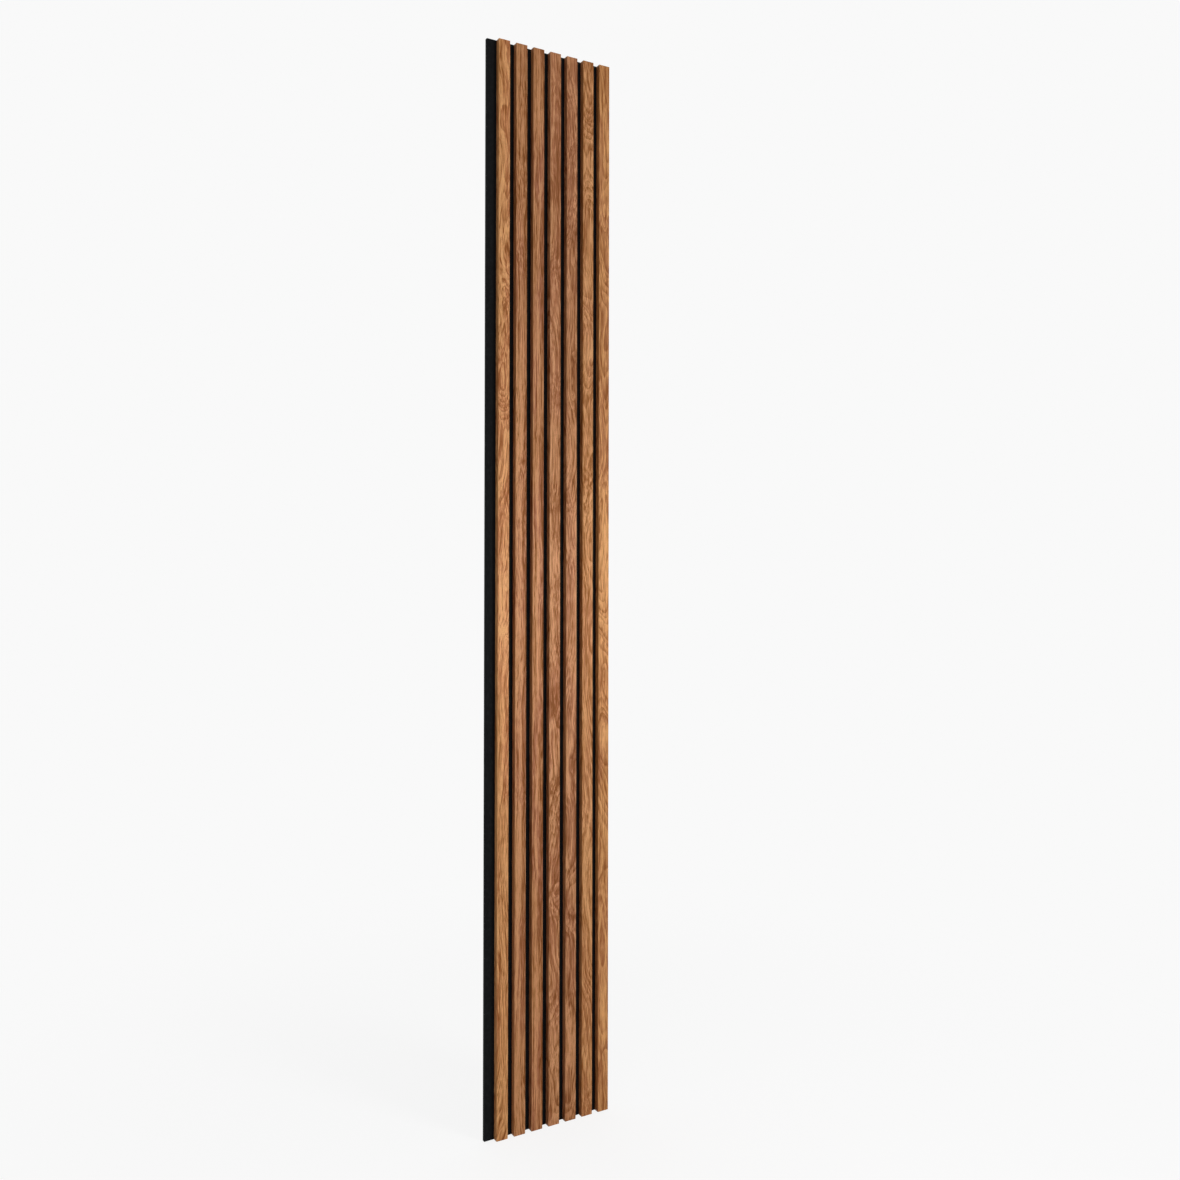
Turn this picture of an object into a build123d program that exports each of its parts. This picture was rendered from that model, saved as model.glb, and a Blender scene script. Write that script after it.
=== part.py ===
from build123d import *
import os

# Slatted wall panel: upright wood slats on a black felt backing, stapled from behind.
# The origin is the centre of the felt's back face, which lies on the wall.
# +X is to the right seen from the room, +Z is up, and the slats face -Y.

# Driving dimensions in mm
panel_height = 2400.0
slat_count = 7
slat_width = 27.0
slat_depth = 13.0          # how far a slat stands off the felt
slat_gap = 15.5            # the dark channel between two slats
slat_edge_radius = 0.8     # both long front edges are eased
felt_thickness = 9.0
felt_margin = 23.0         # bare felt left of the first slat

# Staples: flat wire bent to a U, driven through the felt into the slats
staple_rows = 8
staple_end_distance = 50.0
staple_crown = 12.8        # outside width across the legs
staple_leg = 16.0          # from the outside of the crown to the points
staple_wire_width = 0.95
staple_wire_thickness = 0.65
staple_bend_radius = 1.0   # outside of the bend; the inside is square
staple_point_length = 1.2  # the points are cut slanting, with the outside longer
staple_sink = 0.3          # the crown lies this far below the felt's back
staple_clearance = 0.05    # room round the wire in its slot

# Places that follow from the dimensions
slat_pitch = slat_width + slat_gap
panel_width = felt_margin + slat_count * slat_width + (slat_count - 1) * slat_gap
first_slat_centre = -panel_width / 2 + felt_margin + slat_width / 2
slat_centres = [first_slat_centre + index * slat_pitch for index in range(slat_count)]
top_row = panel_height / 2 - staple_end_distance
row_pitch = 2 * top_row / (staple_rows - 1)
row_heights = [top_row - index * row_pitch for index in range(staple_rows)]


def slat_blank():
    # The section is square at the back and eased at the front, and it runs the full height.
    section = Rectangle(slat_width, slat_depth, align=(Align.CENTER, Align.MAX))
    front_corners = section.vertices().group_by(Axis.Y)[0]
    section = fillet(front_corners, slat_edge_radius)
    return Pos(0, -felt_thickness, 0) * extrude(section, panel_height / 2, both=True)


def felt_blank():
    return Box(panel_width, felt_thickness, panel_height, align=(Align.CENTER, Align.MAX, Align.CENTER))


def staple_outline(slack, crown_top, point_length):
    # A U with its legs towards -Y. Slack widens the wire all round.
    outside = staple_crown / 2 + slack
    inside = staple_crown / 2 - staple_wire_thickness - slack
    crown_bottom = -staple_sink - staple_wire_thickness - slack
    long_tip = -staple_sink - staple_leg - slack
    short_tip = long_tip + point_length
    points = [
        (-outside, crown_top),
        (outside, crown_top),
        (outside, long_tip),
        (inside, short_tip),
        (inside, crown_bottom),
        (-inside, crown_bottom),
        (-inside, short_tip),
        (-outside, long_tip),
    ]
    return make_face(Polyline(*points, close=True))


def staple():
    outline = staple_outline(slack=0.0, crown_top=-staple_sink, point_length=staple_point_length)
    bends = outline.vertices().group_by(Axis.Y)[-1]
    outline = fillet(bends, staple_bend_radius)
    return extrude(outline, staple_wire_width / 2, both=True)


def staple_slot():
    # What the staple leaves in the felt and the slat. It is square at the bottom and open at the
    # back, where the staple was driven in, so its crown starts well behind the felt.
    outline = staple_outline(slack=staple_clearance, crown_top=felt_thickness, point_length=0.0)
    return extrude(outline, staple_wire_width / 2 + staple_clearance, both=True)


def along_slat(shape, centre):
    # One copy of the shape in each row of staples behind one slat.
    return [Pos(centre, 0, height) * shape for height in row_heights]


def main():
    os.makedirs("parts", exist_ok=True)
    slat = slat_blank()
    felt = felt_blank()
    slot = staple_slot()
    wire = staple()
    staples = []
    for index, centre in enumerate(slat_centres):
        slots = along_slat(slot, centre)
        felt = felt - slots
        stapled_slat = Pos(centre, 0, 0) * slat - slots
        staples = staples + along_slat(wire, centre)
        export_step(stapled_slat, f"parts/slat_{index + 1}.step")
    export_step(felt, "parts/felt_backing.step")
    export_step(Compound(children=staples), "parts/staples.step")


main()
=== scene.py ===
import bpy
from math import exp, radians, sqrt
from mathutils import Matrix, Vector, noise


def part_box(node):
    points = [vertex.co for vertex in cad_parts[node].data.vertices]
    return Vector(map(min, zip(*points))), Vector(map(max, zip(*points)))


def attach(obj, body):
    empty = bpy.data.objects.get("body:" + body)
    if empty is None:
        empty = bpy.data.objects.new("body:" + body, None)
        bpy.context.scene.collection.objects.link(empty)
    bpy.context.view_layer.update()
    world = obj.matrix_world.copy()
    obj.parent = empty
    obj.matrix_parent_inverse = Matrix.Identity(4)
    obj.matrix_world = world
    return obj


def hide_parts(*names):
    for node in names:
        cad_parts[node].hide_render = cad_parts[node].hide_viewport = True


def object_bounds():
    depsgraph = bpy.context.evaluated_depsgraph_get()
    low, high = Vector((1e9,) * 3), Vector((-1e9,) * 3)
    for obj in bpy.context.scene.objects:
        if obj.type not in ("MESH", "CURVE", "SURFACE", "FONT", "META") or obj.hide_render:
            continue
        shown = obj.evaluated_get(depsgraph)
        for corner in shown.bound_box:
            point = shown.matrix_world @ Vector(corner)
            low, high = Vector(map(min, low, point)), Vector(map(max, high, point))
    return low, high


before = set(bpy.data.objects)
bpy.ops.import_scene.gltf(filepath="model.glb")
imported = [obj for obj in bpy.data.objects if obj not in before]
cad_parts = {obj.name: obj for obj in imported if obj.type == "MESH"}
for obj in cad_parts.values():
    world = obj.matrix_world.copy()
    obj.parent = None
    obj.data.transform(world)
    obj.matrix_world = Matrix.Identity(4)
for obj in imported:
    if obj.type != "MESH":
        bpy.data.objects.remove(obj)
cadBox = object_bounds()

# Slatted wall panel: seven upright walnut slats stapled from behind to a black felt sheet.
# Metres, in the frame's own axes: the wall is at y = 0, the slats face -Y and run along Z.
mm = 0.001
panelLow = cadBox[0]
feltLow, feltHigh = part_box("felt_backing")
slatBoxes = {number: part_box(f"slat_{number}") for number in range(1, 8)}
slatCentres = {number: (low.x + high.x) / 2 for number, (low, high) in slatBoxes.items()}


def linearColour(code):
    # "#rrggbb" as the eye reads it, turned to the linear numbers that the shaders take
    shares = [int(code[place:place + 2], 16) / 255 for place in (1, 3, 5)]
    return tuple(s / 12.92 if s <= 0.04045 else ((s + 0.055) / 1.055) ** 2.4 for s in shares) + (1.0,)


def addNode(tree, kind, inputs=None, stops=None, **settings):
    # One node with its settings, its values and the links into it. A node given as a value stands
    # for its first output. Stops fill a colour ramp.
    node = tree.nodes.new(kind)
    for name, value in settings.items():
        setattr(node, name, value)
    for socket, value in (inputs or {}).items():
        if isinstance(value, bpy.types.Node):
            value = value.outputs[0]
        if isinstance(value, bpy.types.NodeSocket):
            tree.links.new(value, node.inputs[socket])
        else:
            node.inputs[socket].default_value = value
    if stops:
        ramp = node.color_ramp.elements
        while len(ramp) < len(stops):
            ramp.new(1.0)
        for element, (place, code) in zip(ramp, stops):
            element.position = place
            element.color = linearColour(code)
    return node


def emptyMaterial(name):
    material = bpy.data.materials.new(name)
    material.use_nodes = True
    material.node_tree.nodes.clear()
    return material


# Camera

cameraSettings = {
    "place": (-1.16505, -2.18828, 0.0665),
    "turn": 30.332,         # degrees to the right of straight on
    "tilt": 0.490,          # degrees up
    "roll": 0.093,
    "lens": 33.56,          # mm, on a 36 mm frame
    "shiftDown": 0.0358,    # the frame is slid down instead of tilting the camera further
}


def makeCamera(s):
    data = bpy.data.cameras.new("camera")
    data.lens = s["lens"]
    data.sensor_width = 36.0
    data.shift_y = -s["shiftDown"]
    data.clip_start = 0.05
    data.clip_end = 60.0
    camera = bpy.data.objects.new("camera", data)
    camera.location = s["place"]
    camera.rotation_euler = (radians(90 + s["tilt"]), -radians(s["roll"]), -radians(s["turn"]))
    bpy.context.scene.collection.objects.link(camera)
    bpy.context.scene.camera = camera


makeCamera(cameraSettings)
print("camera is up")


# Slats: the section swept along the height, with staple slots from behind

slatShape = {
    "Edge Radius": 0.8 * mm,     # both long front edges are eased
    "Edge Steps": 8,
    "End Ease": 0.35 * mm,       # the sawn ends have their arrises taken off
    "Lengths": 24,               # stretches between the loops along the height
    "Staple Rows": 8,
    "Staple End Distance": 50.0 * mm,
    "Slot Spacing": 12.15 * mm,  # between the middles of a staple's two legs
    "Slot Width": 0.75 * mm,
    "Slot Height": 1.05 * mm,
    "Slot Reach": 16.35 * mm,    # how far the slots' ends lie from the wall
    "Slot Cutter": 1.2,          # the cutters' length in reaches, so that they stick out of the back
}


def slatTree():
    tree = bpy.data.node_groups.new("slat", "GeometryNodeTree")
    sockets = {"Width": "Float", "Depth": "Float", "Height": "Float", "Back": "Float",
               "Centre": "Float", "Edge Radius": "Float", "Edge Steps": "Int", "End Ease": "Float",
               "Lengths": "Int", "Staple Rows": "Int", "Staple End Distance": "Float",
               "Slot Spacing": "Float", "Slot Width": "Float", "Slot Height": "Float",
               "Slot Reach": "Float", "Slot Cutter": "Float", "Wood": "Material"}
    for name, kind in sockets.items():
        tree.interface.new_socket(name=name, in_out="INPUT", socket_type=f"NodeSocket{kind}")
    tree.interface.new_socket(name="Geometry", in_out="OUTPUT", socket_type="NodeSocketGeometry")
    given = addNode(tree, "NodeGroupInput").outputs

    # the section, round its own middle, with only the front corners rounded
    section = addNode(tree, "GeometryNodeCurvePrimitiveQuadrilateral",
                      {"Width": given["Width"], "Height": given["Depth"]})
    corner = addNode(tree, "ShaderNodeSeparateXYZ", {0: addNode(tree, "GeometryNodeInputPosition")})
    atFront = addNode(tree, "ShaderNodeMath", {0: corner.outputs["Y"], 1: 0.0}, operation="LESS_THAN")
    radius = addNode(tree, "ShaderNodeMath", {0: atFront, 1: given["Edge Radius"]}, operation="MULTIPLY")
    eased = addNode(tree, "GeometryNodeFilletCurve",
                    {"Curve": section, "Count": given["Edge Steps"], "Radius": radius}, mode="POLY")

    # a line up the middle, cut into equal lengths
    halfHeight = addNode(tree, "ShaderNodeMath", {0: given["Height"], 1: 0.5}, operation="MULTIPLY")
    down = addNode(tree, "ShaderNodeMath", {0: halfHeight, 1: -1.0}, operation="MULTIPLY")
    bottom = addNode(tree, "ShaderNodeCombineXYZ", {"Z": down})
    top = addNode(tree, "ShaderNodeCombineXYZ", {"Z": halfHeight})
    line = addNode(tree, "GeometryNodeCurvePrimitiveLine", {"Start": bottom, "End": top})
    count = addNode(tree, "ShaderNodeMath", {0: given["Lengths"], 1: 1.0}, operation="ADD")
    loops = addNode(tree, "GeometryNodeResampleCurve", {"Curve": line, "Count": count})

    # the loops next to the ends slide out to where the section begins to shrink
    index = addNode(tree, "GeometryNodeInputIndex")
    length = addNode(tree, "ShaderNodeMath", {0: given["Height"], 1: given["Lengths"]}, operation="DIVIDE")
    slide = addNode(tree, "ShaderNodeMath", {0: length, 1: given["End Ease"]}, operation="SUBTRACT")
    beforeLast = addNode(tree, "ShaderNodeMath", {0: given["Lengths"], 1: 1.0}, operation="SUBTRACT")
    nearBottom = addNode(tree, "ShaderNodeMath", {0: index, 1: 1.0, 2: 0.1}, operation="COMPARE")
    nearTop = addNode(tree, "ShaderNodeMath", {0: index, 1: beforeLast, 2: 0.1}, operation="COMPARE")
    towards = addNode(tree, "ShaderNodeMath", {0: nearTop, 1: nearBottom}, operation="SUBTRACT")
    rise = addNode(tree, "ShaderNodeMath", {0: slide, 1: towards}, operation="MULTIPLY")
    offset = addNode(tree, "ShaderNodeCombineXYZ", {"Z": rise})
    spaced = addNode(tree, "GeometryNodeSetPosition", {"Geometry": loops, "Offset": offset})

    # the end loops are smaller by the easing on each side
    ends = addNode(tree, "GeometryNodeCurveEndpointSelection")
    halfWidth = addNode(tree, "ShaderNodeMath", {0: given["Width"], 1: 0.5}, operation="MULTIPLY")
    taken = addNode(tree, "ShaderNodeMath", {0: given["End Ease"], 1: halfWidth}, operation="DIVIDE")
    shrunk = addNode(tree, "ShaderNodeMath", {0: 1.0, 1: taken}, operation="SUBTRACT")
    rail = addNode(tree, "GeometryNodeSetCurveRadius", {"Curve": spaced, "Radius": 1.0})
    rail = addNode(tree, "GeometryNodeSetCurveRadius",
                   {"Curve": rail, "Selection": ends, "Radius": shrunk})
    bar = addNode(tree, "GeometryNodeCurveToMesh",
                  {"Curve": rail, "Profile Curve": eased, "Fill Caps": True})
    halfDepth = addNode(tree, "ShaderNodeMath", {0: given["Depth"], 1: 0.5}, operation="MULTIPLY")
    middle = addNode(tree, "ShaderNodeMath", {0: given["Back"], 1: halfDepth}, operation="SUBTRACT")
    place = addNode(tree, "ShaderNodeCombineXYZ", {"X": given["Centre"], "Y": middle})
    board = addNode(tree, "GeometryNodeTransform", {"Geometry": bar, "Translation": place})

    # rows of staples, from the top one down
    topRow = addNode(tree, "ShaderNodeMath", {0: halfHeight, 1: given["Staple End Distance"]},
                     operation="SUBTRACT")
    fall = addNode(tree, "ShaderNodeMath", {0: topRow, 1: -2.0}, operation="MULTIPLY")
    steps = addNode(tree, "ShaderNodeMath", {0: given["Staple Rows"], 1: 1.0}, operation="SUBTRACT")
    rowPitch = addNode(tree, "ShaderNodeMath", {0: fall, 1: steps}, operation="DIVIDE")
    rowStep = addNode(tree, "ShaderNodeCombineXYZ", {"Z": rowPitch})

    # two slots for each staple, cut from behind
    slotEnd = addNode(tree, "ShaderNodeMath", {0: given["Slot Reach"], 1: -1.0}, operation="MULTIPLY")
    cutter = addNode(tree, "ShaderNodeMath", {0: given["Slot Reach"], 1: given["Slot Cutter"]},
                     operation="MULTIPLY")
    slot = addNode(tree, "ShaderNodeCombineXYZ",
                   {"X": given["Slot Width"], "Y": cutter, "Z": given["Slot Height"]})
    cube = addNode(tree, "GeometryNodeMeshCube", {"Size": slot})
    halfCutter = addNode(tree, "ShaderNodeMath", {0: cutter, 1: 0.5}, operation="MULTIPLY")
    slotMiddle = addNode(tree, "ShaderNodeMath", {0: slotEnd, 1: halfCutter}, operation="ADD")
    slots = addNode(tree, "GeometryNodeJoinGeometry")
    for side in (-0.5, 0.5):
        aside = addNode(tree, "ShaderNodeMath", {0: given["Slot Spacing"], 1: side}, operation="MULTIPLY")
        leg = addNode(tree, "ShaderNodeMath", {0: given["Centre"], 1: aside}, operation="ADD")
        first = addNode(tree, "ShaderNodeCombineXYZ", {"X": leg, "Y": slotMiddle, "Z": topRow})
        rows = addNode(tree, "GeometryNodeMeshLine",
                       {"Count": given["Staple Rows"], "Start Location": first, "Offset": rowStep})
        copies = addNode(tree, "GeometryNodeInstanceOnPoints", {"Points": rows, "Instance": cube})
        tree.links.new(copies.outputs[0], slots.inputs[0])
    cutters = addNode(tree, "GeometryNodeRealizeInstances", {0: slots})
    cut = addNode(tree, "GeometryNodeMeshBoolean", {"Mesh 1": board, "Mesh 2": cutters},
                  operation="DIFFERENCE", solver="EXACT")
    solid = addNode(tree, "GeometryNodeRealizeInstances", {0: cut})
    finished = addNode(tree, "GeometryNodeSetMaterial", {"Geometry": solid, "Material": given["Wood"]})
    addNode(tree, "NodeGroupOutput", {0: finished})
    return tree


# Each board is cut from its own place in a stem. Pith is where the stem's heart lies from the
# board's middle in mm, right and towards the wall, and lean is how the board runs off it in
# degrees. A heart far to the side gives straight stripes, and one behind gives arches. Ring is
# how wide a growth ring is, and bend and curl are how far the stem's bends and the fibres' swirls
# push the figure aside, all in mm. Mottle and grain are how strongly the cloudy patches and the
# fine lines show. Seed is the board's own place in the noises.
# Eyes are small closed figures in the rings, patches are lighter or darker stretches of tone, and a stripe
# is where the tone changes across the board. The light patches near the middle of the height on boards 1, 4,
# 5 and 7 are a painted highlight, where the lamps shine brightest. An eye or a patch has its place in mm
# from the board's middle, across and up, then its width, height and strength. A stripe has its place across,
# how soft its edge is, and its strength.
boards = {
    1: {"pith": (-30, 30), "lean": (2.2, 1.1), "ring": 3.4, "bend": 75, "curl": 4,
        "mottle": 0.35, "grain": 1.34, "seed": 3.7,
        "light": "#e8aa6e", "middle": "#c88851", "dark": "#8f511c", "rosy": "#be7748",
        "eyes": [(4, 14, 7, 26, 1.6), (5, -120, 6, 20, 1.6), (-2, 837, 8, 70, 1.2), (3, 367, 8, 60, 0.5)],
        # the first patch, light and round the middle of the height, is a painted highlight
        "tonePatchesAndHighlights": [(-4, -35, 16, 130, 0.38), (0, -300, 24, 70, -0.11), (0, 300, 24, 50, -0.07),
                    (0, 0, 60, 2000, 0.10)]},
    2: {"pith": (-88, 20), "lean": (0.8, 0.1), "ring": 4.4, "bend": 50, "curl": 4,
        "mottle": 0.3, "grain": 1.42, "seed": 11.2,
        "light": "#d19464", "middle": "#b77b4b", "dark": "#804713", "rosy": "#a96943",
        "eyes": [(2, 64, 8, 40, 1.0), (-3, -189, 7, 26, 1.0)],
        "tonePatchesAndHighlights": [(0, 780, 60, 330, -0.09), (0, 100, 24, 50, 0.08), (0, -850, 60, 450, 0.13)],
        "stripe": (3.0, 2.5, 0.40)},
    3: {"pith": (112, 30), "lean": (0.12, 0.1), "ring": 5.2, "bend": 20, "curl": 4,
        "mottle": 0.25, "grain": 1.48, "seed": 23.9,
        "light": "#d19464", "middle": "#b57848", "dark": "#7d4513", "rosy": "#a86745",
        "eyes": [],
        "tonePatchesAndHighlights": [(-4, -420, 14, 60, -0.14), (-5, 310, 12, 50, -0.24), (0, 820, 60, 300, -0.05),
                    (0, 100, 60, 300, 0.05)],
        "stripe": (1.5, 4.0, 0.34)},
    4: {"pith": (34, 36), "lean": (0.9, 0.9), "ring": 3.6, "bend": 75, "curl": 6,
        "mottle": 0.7, "grain": 1.3, "seed": 31.4,
        "light": "#d99d6e", "middle": "#bd8153", "dark": "#864d20", "rosy": "#af6f48",
        "eyes": [(2, 137, 8, 34, 1.2), (-2, 85, 7, 26, 1.2), (1, -560, 8, 60, 1.2)],
        # the fourth patch, small and light near the middle of the height, is a painted highlight
        "tonePatchesAndHighlights": [(0, -253, 24, 45, -0.40), (0, 892, 30, 40, -0.26), (0, 200, 26, 80, -0.20),
                    (2, 60, 12, 24, 0.24), (0, -440, 24, 120, -0.20), (0, -660, 24, 60, 0.10),
                    (0, 0, 60, 2000, -0.04)]},
    5: {"pith": (-32, 36), "lean": (0.9, 0.9), "ring": 3.6, "bend": 70, "curl": 6,
        "mottle": 0.6, "grain": 1.26, "seed": 47.1,
        "light": "#d19466", "middle": "#b4794b", "dark": "#80481c", "rosy": "#a46742",
        "eyes": [(0, 476, 9, 60, 1.4), (-4, 1008, 5, 20, 1.2), (-3, -400, 6, 26, 1.2)],
        # the sixth patch, light and near the middle of the height, is a painted highlight
        "tonePatchesAndHighlights": [(2, 450, 24, 90, -0.13), (2, 786, 20, 30, -0.24), (0, -540, 24, 90, -0.22),
                    (0, 590, 24, 40, -0.12), (0, -700, 24, 70, -0.06), (0, 20, 24, 90, 0.16),
                    (0, -290, 24, 60, -0.08), (0, 0, 60, 2000, 0.11)]},
    6: {"pith": (30, 30), "lean": (-2.2, 1.0), "ring": 3.4, "bend": 65, "curl": 4,
        "mottle": 0.35, "grain": 1.31, "seed": 58.6,
        "light": "#dfa36c", "middle": "#c28550", "dark": "#8e5420", "rosy": "#b57648",
        "eyes": [(0, 646, 9, 50, 0.4), (2, -641, 6, 26, 1.2)],
        "tonePatchesAndHighlights": [(0, 540, 28, 40, 0.30), (0, 650, 24, 50, 0.12), (0, 100, 24, 60, -0.16),
                    (0, -400, 24, 50, -0.08), (0, 1000, 24, 60, -0.10), (0, -505, 24, 60, 0.22),
                    (2, -640, 24, 80, 0.08), (0, -1060, 24, 120, 0.10)]},
    7: {"pith": (2, 38), "lean": (0.1, 1.5), "ring": 2.9, "bend": 55, "curl": 4,
        "mottle": 0.4, "grain": 1.14, "seed": 72.3,
        "light": "#e2a567", "middle": "#be8049", "dark": "#8a4d18", "rosy": "#b37244",
        "eyes": [(0, 857, 8, 40, 1.6), (1, 152, 9, 60, 1.6), (0, -203, 6, 24, 1.2)],
        # the first patch, light and near the middle of the height, is a painted highlight
        "tonePatchesAndHighlights": [(0, 101, 28, 130, 0.20), (0, -203, 12, 26, -0.12), (0, 640, 26, 120, -0.14),
                    (0, 1010, 26, 80, 0.16), (0, 290, 24, 60, -0.06), (0, -400, 30, 90, -0.07),
                    (0, -980, 30, 140, 0.14), (0, 0, 60, 2000, 0.06)]},
}

# Layers of the wood's figure: how wide and how long each one's patches are, in mm, and how detailed
woodLayers = {
    "bend": (96, 300, 1.0),      # the stem's slow bends
    "curl": (18, 80, 0.5),       # short swirls of the fibres
    "drift": (34, 240, 1.0),     # slow change from golden to rosy
    "mottle": (13, 36, 2.0),     # cloudy patches
    "streak": (3.4, 220, 3.0),   # long streaks of colour
    "fleck": (2.0, 24, 2.0),     # short dark dashes
    "fibre": (1.1, 60, 2.0),     # fine lines. Real fibres are finer, and these are what shows
    "pore": (0.34, 6.5, 1.0),    # open pores
}
fineLayers = ("streak", "fleck", "fibre", "pore")

# What all boards share
woodFinish = {
    "ringWeight": 0.52,          # how much each layer adds to the tone
    "bandWeight": 0.95,
    "streakWeight": 1.35,
    "fleckWeight": 0.97,
    "fibreWeight": 0.95,
    "bandScale": 0.33,           # wide and narrow rings take turns about every three rings
    "bandPush": 2.3,             # how far the bands push the rings, in rings
    "stripeSway": 9 * mm,        # how far a stripe's edge wanders
    "poreColour": "#4a2a18",
    "poreShade": 0.45,
    "endColour": "#5a3620",
    "endShade": 0.45,
    "relief": 0.35,
    "reliefDepth": 0.12 * mm,
    "darkRoughness": 0.60,
    "lightRoughness": 0.46,
    "ior": 1.5,
    "specular": 0.20,
}


def walnut(number, board, s):
    # Solid walnut, planed and oiled. The eye sees warm brown rings and streaks that run through
    # the board, fine dark pores, and a satin surface with a low shine.
    material = emptyMaterial(f"oiled walnut {number}")
    tree = material.node_tree
    where = addNode(tree, "ShaderNodeTexCoord")
    seed = board["seed"]

    # the fibres run with the stem's bends, and the fine layers run with the fibres
    layers, grain = {}, where.outputs["Object"]
    for name, (across, along, detail) in woodLayers.items():
        stretched = addNode(tree, "ShaderNodeMapping",
                            {"Vector": grain if name in fineLayers else where.outputs["Object"],
                             "Scale": (1 / (across * mm), 1 / (across * mm), 1 / (along * mm)),
                             "Location": (seed, seed * 1.7, seed * 2.3)})
        layers[name] = addNode(tree, "ShaderNodeTexNoise",
                               {"Vector": stretched, "Scale": 1.0, "Detail": detail}).outputs
        if name in ("bend", "curl"):
            reach = board[name] * mm
            grain = addNode(tree, "ShaderNodeVectorMath",
                            {0: layers[name]["Color"], 1: (reach, reach, 0.0), 2: grain},
                            operation="MULTIPLY_ADD")

    # growth rings: how far a point lies from the heart of the stem, in ring widths
    warp = (board["bend"] + board["curl"]) / 2     # the noises lie round 0.5
    heart = (slatCentres[number] + (board["pith"][0] + warp) * mm, (board["pith"][1] + warp) * mm, 0.0)
    lean = (radians(board["lean"][1]), radians(board["lean"][0]), 0.0)
    stem = addNode(tree, "ShaderNodeMapping", {"Vector": grain, "Location": heart, "Rotation": lean},
                   vector_type="TEXTURE")
    level = addNode(tree, "ShaderNodeVectorMath", {0: stem, 1: (1.0, 1.0, 0.0)}, operation="MULTIPLY")
    distance = addNode(tree, "ShaderNodeVectorMath", {0: level}, operation="LENGTH")
    rings = addNode(tree, "ShaderNodeMath", {0: distance.outputs["Value"], 1: board["ring"] * mm},
                    operation="DIVIDE")

    def around(place):
        # 1 at a place on the board's face, falling to 0 at its rim
        across, up, width, tall, strength = place
        local = addNode(tree, "ShaderNodeMapping",
                        {"Vector": where.outputs["Object"],
                         "Location": (slatCentres[number] + across * mm, panelLow.y, up * mm),
                         "Scale": (width * mm, width * mm, tall * mm)}, vector_type="TEXTURE")
        away = addNode(tree, "ShaderNodeVectorMath", {0: local}, operation="LENGTH")
        return addNode(tree, "ShaderNodeMapRange",
                       {"Value": away.outputs["Value"], "From Min": 1.5, "From Max": 0.0},
                       interpolation_type="SMOOTHERSTEP")

    for eye in board["eyes"]:
        rings = addNode(tree, "ShaderNodeMath", {0: around(eye), 1: eye[-1], 2: rings},
                        operation="MULTIPLY_ADD")
    band = addNode(tree, "ShaderNodeTexNoise", {"W": rings, "Scale": s["bandScale"], "Detail": 2.0},
                   noise_dimensions="1D")
    uneven = addNode(tree, "ShaderNodeMath", {0: band, 1: s["bandPush"], 2: rings},
                     operation="MULTIPLY_ADD")
    share = addNode(tree, "ShaderNodeMath", {0: uneven}, operation="FRACT")
    ring = addNode(tree, "ShaderNodeValToRGB", {0: share},
                   stops=[(0.0, "#f0f0f0"), (0.40, "#cdcdcd"), (0.72, "#8c8c8c"), (0.90, "#101010"),
                          (1.0, "#f0f0f0")])

    # tone, from dark to light
    weights = [(ring, s["ringWeight"]), (band, s["bandWeight"]),
               (layers["streak"]["Fac"], s["streakWeight"] * board["grain"]),
               (layers["fleck"]["Fac"], s["fleckWeight"] * board["grain"]),
               (layers["fibre"]["Fac"], s["fibreWeight"] * board["grain"]),
               (layers["mottle"]["Fac"], board["mottle"])]
    tone = 0.5 - 0.5 * sum(weight for value, weight in weights)
    # the patches add lighter and darker stretches of tone, and a few of them add a painted highlight
    for value, weight in weights + [(around(patch), patch[-1]) for patch in board["tonePatchesAndHighlights"]]:
        tone = addNode(tree, "ShaderNodeMath", {0: value, 1: weight, 2: tone}, operation="MULTIPLY_ADD")
    if "stripe" in board:
        across, soft, strength = board["stripe"]
        bent = addNode(tree, "ShaderNodeVectorMath",
                       {0: layers["bend"]["Color"], 1: (s["stripeSway"], 0.0, 0.0),
                        2: where.outputs["Object"]}, operation="MULTIPLY_ADD")
        sideways = addNode(tree, "ShaderNodeSeparateXYZ", {0: bent}).outputs["X"]
        edge = slatCentres[number] + across * mm + s["stripeSway"] / 2
        beyond = addNode(tree, "ShaderNodeMapRange",
                         {"Value": sideways, "From Min": edge - soft * mm, "From Max": edge + soft * mm,
                          "To Min": strength * 0.5, "To Max": -strength * 0.5})
        tone = addNode(tree, "ShaderNodeMath", {0: tone, 1: beyond}, operation="ADD")

    golden = addNode(tree, "ShaderNodeValToRGB", {0: tone},
                     stops=[(0.10, board["dark"]), (0.50, board["middle"]), (0.95, board["light"])])
    rosy = addNode(tree, "ShaderNodeValToRGB", {0: tone},
                   stops=[(0.05, board["dark"]), (0.55, board["rosy"]), (1.0, board["light"])])
    hue = addNode(tree, "ShaderNodeMapRange",
                  {"Value": layers["drift"]["Fac"], "From Min": 0.43, "From Max": 0.58})
    colour = addNode(tree, "ShaderNodeMix", {"Factor": hue, 6: golden, 7: rosy},
                     data_type="RGBA").outputs[2]
    pore = addNode(tree, "ShaderNodeMapRange",
                   {"Value": layers["pore"]["Fac"], "From Min": 0.60, "From Max": 0.70})
    poreShade = addNode(tree, "ShaderNodeMath", {0: pore, 1: s["poreShade"]}, operation="MULTIPLY")
    colour = addNode(tree, "ShaderNodeMix",
                     {"Factor": poreShade, 6: colour, 7: linearColour(s["poreColour"])},
                     data_type="RGBA").outputs[2]

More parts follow.
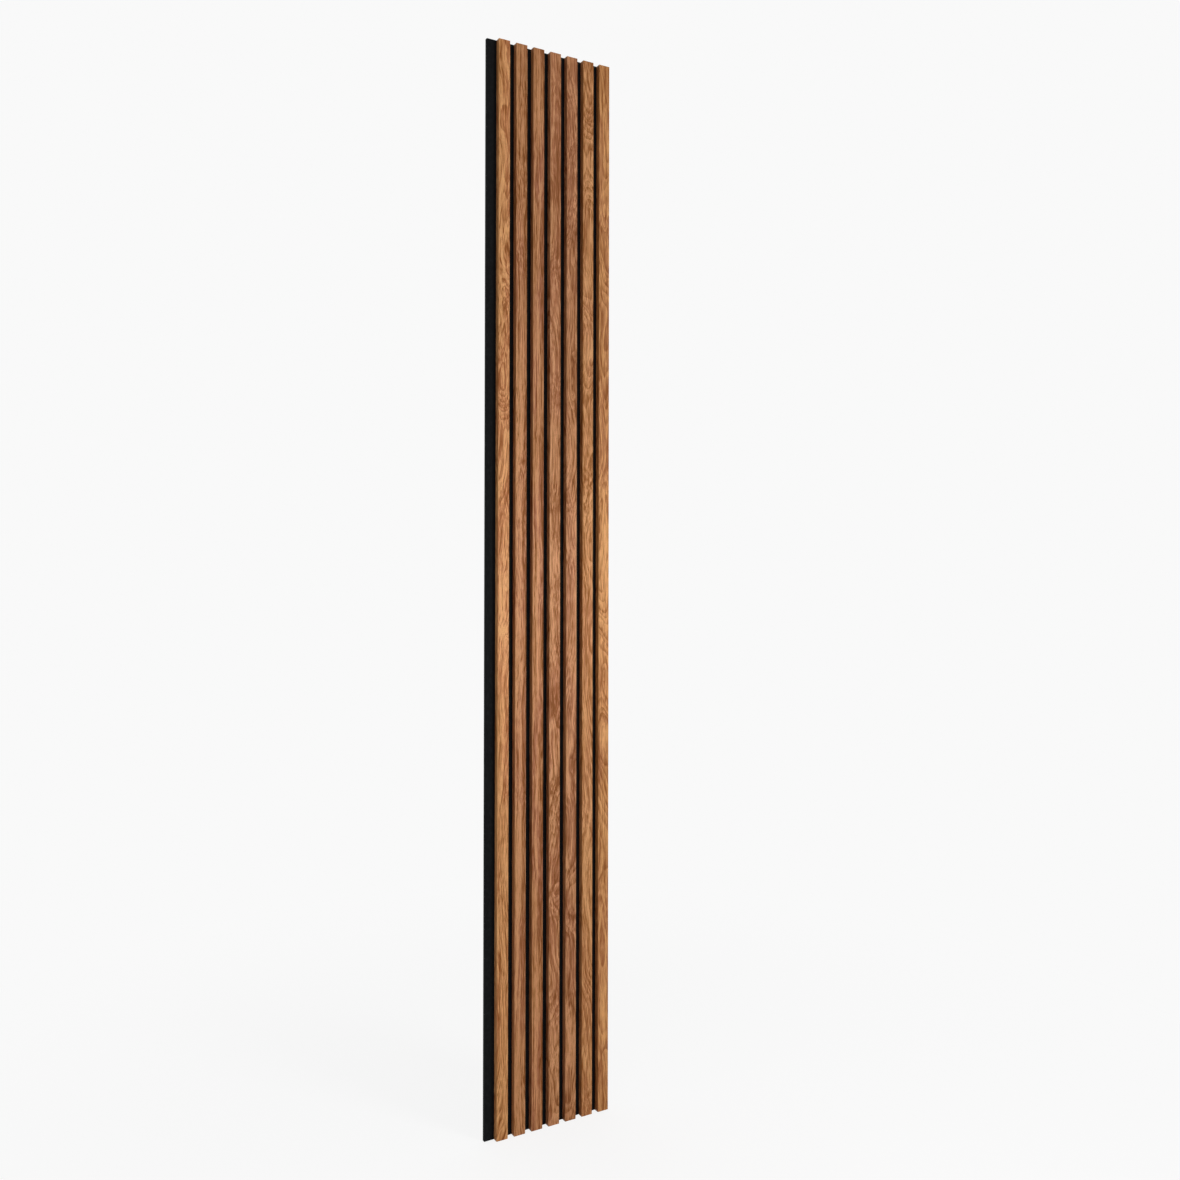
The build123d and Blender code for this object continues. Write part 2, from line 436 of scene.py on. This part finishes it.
    # sawn ends drink more oil, so they are darker
    facing = addNode(tree, "ShaderNodeSeparateXYZ", {0: where.outputs["Normal"]})
    upright = addNode(tree, "ShaderNodeMath", {0: facing.outputs["Z"]}, operation="ABSOLUTE")
    atEnd = addNode(tree, "ShaderNodeMath", {0: upright, 1: 0.9}, operation="GREATER_THAN")
    endShade = addNode(tree, "ShaderNodeMath", {0: atEnd, 1: s["endShade"]}, operation="MULTIPLY")
    colour = addNode(tree, "ShaderNodeMix",
                     {"Factor": endShade, 6: colour, 7: linearColour(s["endColour"])},
                     data_type="RGBA").outputs[2]

    # the fibres stand up a little and the pores lie deep
    height = addNode(tree, "ShaderNodeMath", {0: pore, 1: -1.0, 2: layers["fibre"]["Fac"]},
                     operation="MULTIPLY_ADD")
    relief = addNode(tree, "ShaderNodeBump",
                     {"Height": height, "Strength": s["relief"], "Distance": s["reliefDepth"]})
    roughness = addNode(tree, "ShaderNodeMapRange",
                        {"Value": tone, "To Min": s["darkRoughness"], "To Max": s["lightRoughness"]})
    surface = addNode(tree, "ShaderNodeBsdfPrincipled",
                      {"Base Color": colour, "Roughness": roughness, "IOR": s["ior"],
                       "Specular IOR Level": s["specular"], "Normal": relief})
    addNode(tree, "ShaderNodeOutputMaterial", {"Surface": surface})
    return material


def makeSlats():
    tree = slatTree()
    sockets = {item.name: item.identifier for item in tree.interface.items_tree if item.in_out == "INPUT"}
    for number, (low, high) in slatBoxes.items():
        empty = bpy.data.objects.new(f"slat_{number}_blank", bpy.data.meshes.new("blank"))
        bpy.context.scene.collection.objects.link(empty)
        maker = empty.modifiers.new("slat", "NODES")
        maker.node_group = tree
        size, wood = high - low, walnut(number, boards[number], woodFinish)
        values = {"Width": size.x, "Depth": size.y, "Height": size.z, "Back": high.y,
                  "Centre": slatCentres[number], "Wood": wood, **slatShape}
        for name, value in values.items():
            maker[sockets[name]] = value
        shown = empty.evaluated_get(bpy.context.evaluated_depsgraph_get())
        mesh = bpy.data.meshes.new_from_object(shown)
        bpy.data.objects.remove(empty)
        mesh.materials.clear()
        mesh.materials.append(wood)
        mesh.set_sharp_from_angle(angle=radians(30))     # only the eased edges are shaded round
        piece = bpy.data.objects.new(f"wood_slat_{number}", mesh)
        bpy.context.scene.collection.objects.link(piece)
        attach(piece, "root")
        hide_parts(f"slat_{number}")
        print(piece.name, "has", len(mesh.polygons), "faces")


makeSlats()


# Felt: a soft sheet that is pulled in round each staple and swells a little in the channels

feltSettings = {
    "edgeRadius": 0.8 * mm,      # a knife cut in felt isn't sharp
    "dimple": 0.62 * mm,         # how deep a staple's crown pulls the back in
    "dimpleReach": 3.4 * mm,
    "crownHalf": 5.9 * mm,       # half of the crown's straight stretch
    "swell": 0.22 * mm,          # of the front between two slats
    "unevenness": 0.10 * mm,     # of the back, in waves
    "wavesAcross": 40,           # to a metre
    "wavesAlong": 25,
    "fineStep": 1.5 * mm,        # between the mesh's lines beside the staples, and elsewhere
    "coarseStep": 12.0 * mm,
    "coarseAcross": 5.0 * mm,
    "leastStep": 0.05 * mm,
    "fineAcross": 9.0 * mm,      # half of the fine stretch round a staple, sideways
    "fineAlong": 6.0 * mm,
    "fibre": 1.1 * mm,           # size of the fibres' tangles
    "clump": 9.0 * mm,           # and of the clumps that they form
    "relief": 0.6,
    "reliefDepth": 0.35 * mm,
    "roughness": 0.85,
    "specular": 0.08,
    "sheen": 0.04,
    "sheenRoughness": 0.5,
}


def stapleHeights():
    top = feltHigh.z - slatShape["Staple End Distance"]
    rows = slatShape["Staple Rows"]
    return [top - 2 * top * row / (rows - 1) for row in range(rows)]


def gridLines(low, high, marks, reach, coarse, s):
    # Lines close together round the marks and the rims, and further apart between
    fine, edge = s["fineStep"], s["edgeRadius"]
    rims = [0.0, 0.12, 0.35, 0.65, 1.0]     # in shares of the rounded edge
    lines = [low + edge * share for share in rims] + [high - edge * share for share in rims]
    for mark in marks:
        steps = round(reach / fine)
        lines += [mark + fine * step for step in range(-steps, steps + 1)]
    lines = sorted(line for line in lines if low <= line <= high)
    filled = [lines[0]]
    for line in lines[1:]:
        start = filled[-1]
        gap = line - start
        if gap < s["leastStep"]:
            continue
        parts = max(1, round(gap / coarse)) if gap > fine * 1.5 else 1
        filled += [start + gap * part / parts for part in range(1, parts + 1)]
    filled[-1] = high
    return filled


def rounding(distance, radius):
    # How far the surface falls back near a rim
    if distance >= radius:
        return 0.0
    return radius - sqrt(max(0.0, radius ** 2 - (radius - distance) ** 2))


def feltMesh(s):
    heights = stapleHeights()
    columns = gridLines(feltLow.x, feltHigh.x, list(slatCentres.values()), s["fineAcross"],
                        s["coarseAcross"], s)
    rows = gridLines(feltLow.z, feltHigh.z, heights, s["fineAlong"], s["coarseStep"], s)
    slatHalf = (slatBoxes[1][1].x - slatBoxes[1][0].x) / 2
    channel = slatCentres[2] - slatCentres[1] - 2 * slatHalf

    def backFace(x, z):
        # pulled in along each staple's crown, and slightly wavy
        centre = min(slatCentres.values(), key=lambda c: abs(c - x))
        row = min(heights, key=lambda h: abs(h - z))
        beside = max(0.0, abs(x - centre) - s["crownHalf"])
        away = sqrt(beside ** 2 + (z - row) ** 2) / s["dimpleReach"]
        wave = noise.noise(Vector((x * s["wavesAcross"], 3.0, z * s["wavesAlong"]))) + 1.0
        return feltHigh.y - s["dimple"] * exp(-away ** 2) - s["unevenness"] * 0.5 * wave

    def frontFace(x, z):
        # flat under the slats, highest in the middle of a channel and on the bare strip
        nearest = min(slatCentres.values(), key=lambda c: abs(c - x))
        beyond = abs(x - nearest) - slatHalf
        share = max(0.0, min(beyond / channel, 1 - beyond / channel))
        if x < slatBoxes[1][0].x:
            share = max(0.0, min(1.0, beyond / channel)) * 0.5
        return feltLow.y - s["swell"] * 4 * share * (1 - share)

    vertices, across = [], len(columns)
    for face, inward in ((frontFace, 1.0), (backFace, -1.0)):
        for z in rows:
            for x in columns:
                rim = min(x - feltLow.x, feltHigh.x - x, z - feltLow.z, feltHigh.z - z)
                vertices.append((x, face(x, z) + inward * rounding(rim, s["edgeRadius"]), z))
    faces, back = [], len(rows) * across
    for row in range(len(rows) - 1):
        for column in range(across - 1):
            a = row * across + column
            b, c, d = a + 1, a + 1 + across, a + across
            faces.append((a, b, c, d))
            faces.append((back + d, back + c, back + b, back + a))
    outline = [(column, 0) for column in range(across)]
    outline += [(across - 1, row) for row in range(1, len(rows))]
    outline += [(column, len(rows) - 1) for column in range(across - 2, -1, -1)]
    outline += [(0, row) for row in range(len(rows) - 2, 0, -1)]
    outline = [row * across + column for column, row in outline]
    for a, b in zip(outline, outline[1:] + outline[:1]):
        faces.append((b, a, back + a, back + b))
    mesh = bpy.data.meshes.new("felt")
    mesh.from_pydata(vertices, [], faces)
    mesh.polygons.foreach_set("use_smooth", [True] * len(mesh.polygons))
    mesh.validate()
    return mesh


def blackFelt(s):
    # Needle-punched polyester felt, dyed black. The eye sees a matt, slightly blue black with
    # paler fibres lying every way, and a soft sheen where light grazes it.
    material = emptyMaterial("black needled felt")
    tree = material.node_tree
    where = addNode(tree, "ShaderNodeTexCoord")
    fibres = addNode(tree, "ShaderNodeTexNoise",
                     {"Vector": where.outputs["Object"], "Scale": 1 / s["fibre"], "Detail": 4.0,
                      "Roughness": 0.65, "Distortion": 1.6})
    clumps = addNode(tree, "ShaderNodeTexNoise",
                     {"Vector": where.outputs["Object"], "Scale": 1 / s["clump"], "Detail": 3.0})
    mixed = addNode(tree, "ShaderNodeMath", {0: clumps, 1: 0.5, 2: fibres}, operation="MULTIPLY_ADD")
    colour = addNode(tree, "ShaderNodeValToRGB", {0: mixed},
                     stops=[(0.55, "#0a0b0c"), (0.80, "#131415"), (1.0, "#242628")])
    relief = addNode(tree, "ShaderNodeBump",
                     {"Height": fibres, "Strength": s["relief"], "Distance": s["reliefDepth"]})
    surface = addNode(tree, "ShaderNodeBsdfPrincipled",
                      {"Base Color": colour, "Roughness": s["roughness"],
                       "Specular IOR Level": s["specular"], "Sheen Weight": s["sheen"],
                       "Sheen Roughness": s["sheenRoughness"], "Normal": relief})
    addNode(tree, "ShaderNodeOutputMaterial", {"Surface": surface})
    return material


def makeFelt():
    mesh = feltMesh(feltSettings)
    mesh.materials.append(blackFelt(feltSettings))
    piece = bpy.data.objects.new("felt_sheet", mesh)
    bpy.context.scene.collection.objects.link(piece)
    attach(piece, "root")
    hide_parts("felt_backing")
    print(piece.name, "has", len(mesh.polygons), "faces")


makeFelt()


# Staples keep their modelled shape and get their wire's finish

wireFinish = {
    "spangle": 0.5 * mm,
    "speck": 0.3 * mm,
    "dull": "#8d9090",
    "bright": "#c2c4c2",
    "leastRoughness": 0.28,
    "mostRoughness": 0.45,
}


def stapleWire(s):
    # Galvanised steel wire, flattened and glued in a strip. The eye sees a pale grey metal with
    # faint spangles and dull specks.
    material = emptyMaterial("galvanised wire")
    tree = material.node_tree
    where = addNode(tree, "ShaderNodeTexCoord")
    spangle = addNode(tree, "ShaderNodeTexVoronoi",
                      {"Vector": where.outputs["Object"], "Scale": 1 / s["spangle"]})
    specks = addNode(tree, "ShaderNodeTexNoise",
                     {"Vector": where.outputs["Object"], "Scale": 1 / s["speck"], "Detail": 3.0})
    colour = addNode(tree, "ShaderNodeValToRGB", {0: specks}, stops=[(0.35, s["dull"]), (0.60, s["bright"])])
    roughness = addNode(tree, "ShaderNodeMapRange",
                        {"Value": spangle.outputs["Distance"], "To Min": s["leastRoughness"],
                         "To Max": s["mostRoughness"]})
    surface = addNode(tree, "ShaderNodeBsdfPrincipled",
                      {"Base Color": colour, "Metallic": 1.0, "Roughness": roughness})
    addNode(tree, "ShaderNodeOutputMaterial", {"Surface": surface})
    return material


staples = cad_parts["staples"]
staples.data.materials.clear()
staples.data.materials.append(stapleWire(wireFinish))
print("staples have their wire's finish")


# Room: a pale floor that fades into the white, a tall soft lamp with three small ones beside it,
# and a sky that is brighter behind the panel

roomSettings = {
    "white": 0.947,         # what the camera sees behind the panel
    "skyInFront": 0.23,     # what the sky gives to matt surfaces that face the room
    "skyBehind": 0.62,      # and to the felt's back, which no lamp reaches
    "skyTurn": 0.4,         # the y of a direction from which the sky is as bright as behind
    "floorRadius": 3.0,
    "floorShare": 0.17,     # how much of the floor's look near the panel is lit colour
    "floorLit": 0.60,       # how bright the lamps and the sky make that colour
    "floorNear": 0.25,      # out to here the floor has its full share, in m
    "floorFar": 1.8,        # and from here it is white
    "floorColour": "#e6e6e6",
}

# Each lamp's place and size in m, its power in W, and the width of its beam in degrees
lamps = {
    "tall softbox": {"place": (0.95, -2.1, -0.30), "size": (0.7, 4.6), "power": 46.5, "beam": 180},
    "left softbox": {"place": (-1.7, -1.8, 0.0), "size": (0.5, 3.6), "power": 6.5, "beam": 180},
    "side strip": {"place": (-2.2, -0.10, 0.0), "size": (0.2, 3.0), "power": 3.2, "beam": 180},
    "gridded lamp": {"place": (0.75, -1.45, -0.05), "size": (0.3, 0.3), "power": 0.205, "beam": 36},
}
pureWhite = (1.0, 1.0, 1.0, 1.0)


def seenDirectly(tree):
    # 1 for camera rays, and for the rays that gloss and glass send out
    rays = addNode(tree, "ShaderNodeLightPath").outputs
    both = addNode(tree, "ShaderNodeMath", {0: rays["Is Camera Ray"], 1: rays["Is Glossy Ray"]},
                   operation="MAXIMUM")
    return addNode(tree, "ShaderNodeMath", {0: both, 1: rays["Is Transmission Ray"]},
                   operation="MAXIMUM")


def makeSky(s):
    world = bpy.data.worlds.new("studio")
    world.use_nodes = True
    tree = world.node_tree
    tree.nodes.clear()
    where = addNode(tree, "ShaderNodeTexCoord")
    direction = addNode(tree, "ShaderNodeSeparateXYZ", {0: where.outputs["Generated"]})
    strength = addNode(tree, "ShaderNodeMapRange",
                       {"Value": direction.outputs["Y"], "From Min": 0.0, "From Max": s["skyTurn"],
                        "To Min": s["skyInFront"], "To Max": s["skyBehind"]})
    lit = addNode(tree, "ShaderNodeBackground", {"Color": pureWhite, "Strength": strength})
    seen = addNode(tree, "ShaderNodeBackground", {"Color": pureWhite, "Strength": s["white"]})
    sky = addNode(tree, "ShaderNodeMixShader", {0: seenDirectly(tree), 1: lit, 2: seen})
    addNode(tree, "ShaderNodeOutputWorld", {"Surface": sky})
    bpy.context.scene.world = world


def makeFloor(s):
    material = emptyMaterial("pale floor")
    tree = material.node_tree
    where = addNode(tree, "ShaderNodeTexCoord")
    reach = addNode(tree, "ShaderNodeVectorMath", {0: where.outputs["Object"]}, operation="LENGTH")
    near = addNode(tree, "ShaderNodeMapRange",
                   {"Value": reach.outputs["Value"], "From Min": s["floorNear"],
                    "From Max": s["floorFar"], "To Min": s["floorShare"], "To Max": 0.0},
                   interpolation_type="SMOOTHSTEP")
    glow = addNode(tree, "ShaderNodeMath", {0: near, 1: -s["floorLit"], 2: s["white"]},
                   operation="MULTIPLY_ADD")
    matt = addNode(tree, "ShaderNodeBsdfDiffuse", {"Color": near})
    white = addNode(tree, "ShaderNodeEmission", {"Color": pureWhite, "Strength": glow})
    shown = addNode(tree, "ShaderNodeAddShader", {0: white, 1: matt})
    grey = addNode(tree, "ShaderNodeBsdfDiffuse", {"Color": linearColour(s["floorColour"])})
    surface = addNode(tree, "ShaderNodeMixShader", {0: seenDirectly(tree), 1: grey, 2: shown})
    addNode(tree, "ShaderNodeOutputMaterial", {"Surface": surface})
    bpy.ops.mesh.primitive_circle_add(vertices=96, radius=s["floorRadius"], fill_type="NGON")
    floor = bpy.context.object
    floor.name = "floor"
    floor.location = (0.0, 0.0, panelLow.z - 0.5 * mm)
    floor.data.materials.append(material)


def makeLamp(name, s):
    data = bpy.data.lights.new(name, "AREA")
    data.shape = "RECTANGLE"
    data.size, data.size_y = s["size"]
    data.energy = s["power"]
    data.spread = radians(s["beam"])
    lamp = bpy.data.objects.new(name, data)
    lamp.location = s["place"]
    aim = Vector((0.0, 0.0, s["place"][2])) - lamp.location
    lamp.rotation_euler = aim.to_track_quat("-Z", "Y").to_euler()
    lamp.visible_camera = False
    bpy.context.scene.collection.objects.link(lamp)


makeSky(roomSettings)
makeFloor(roomSettings)
for name, settings in lamps.items():
    makeLamp(name, settings)
bpy.context.scene.view_settings.view_transform = "Standard"
print("floor, sky and lamps are up")
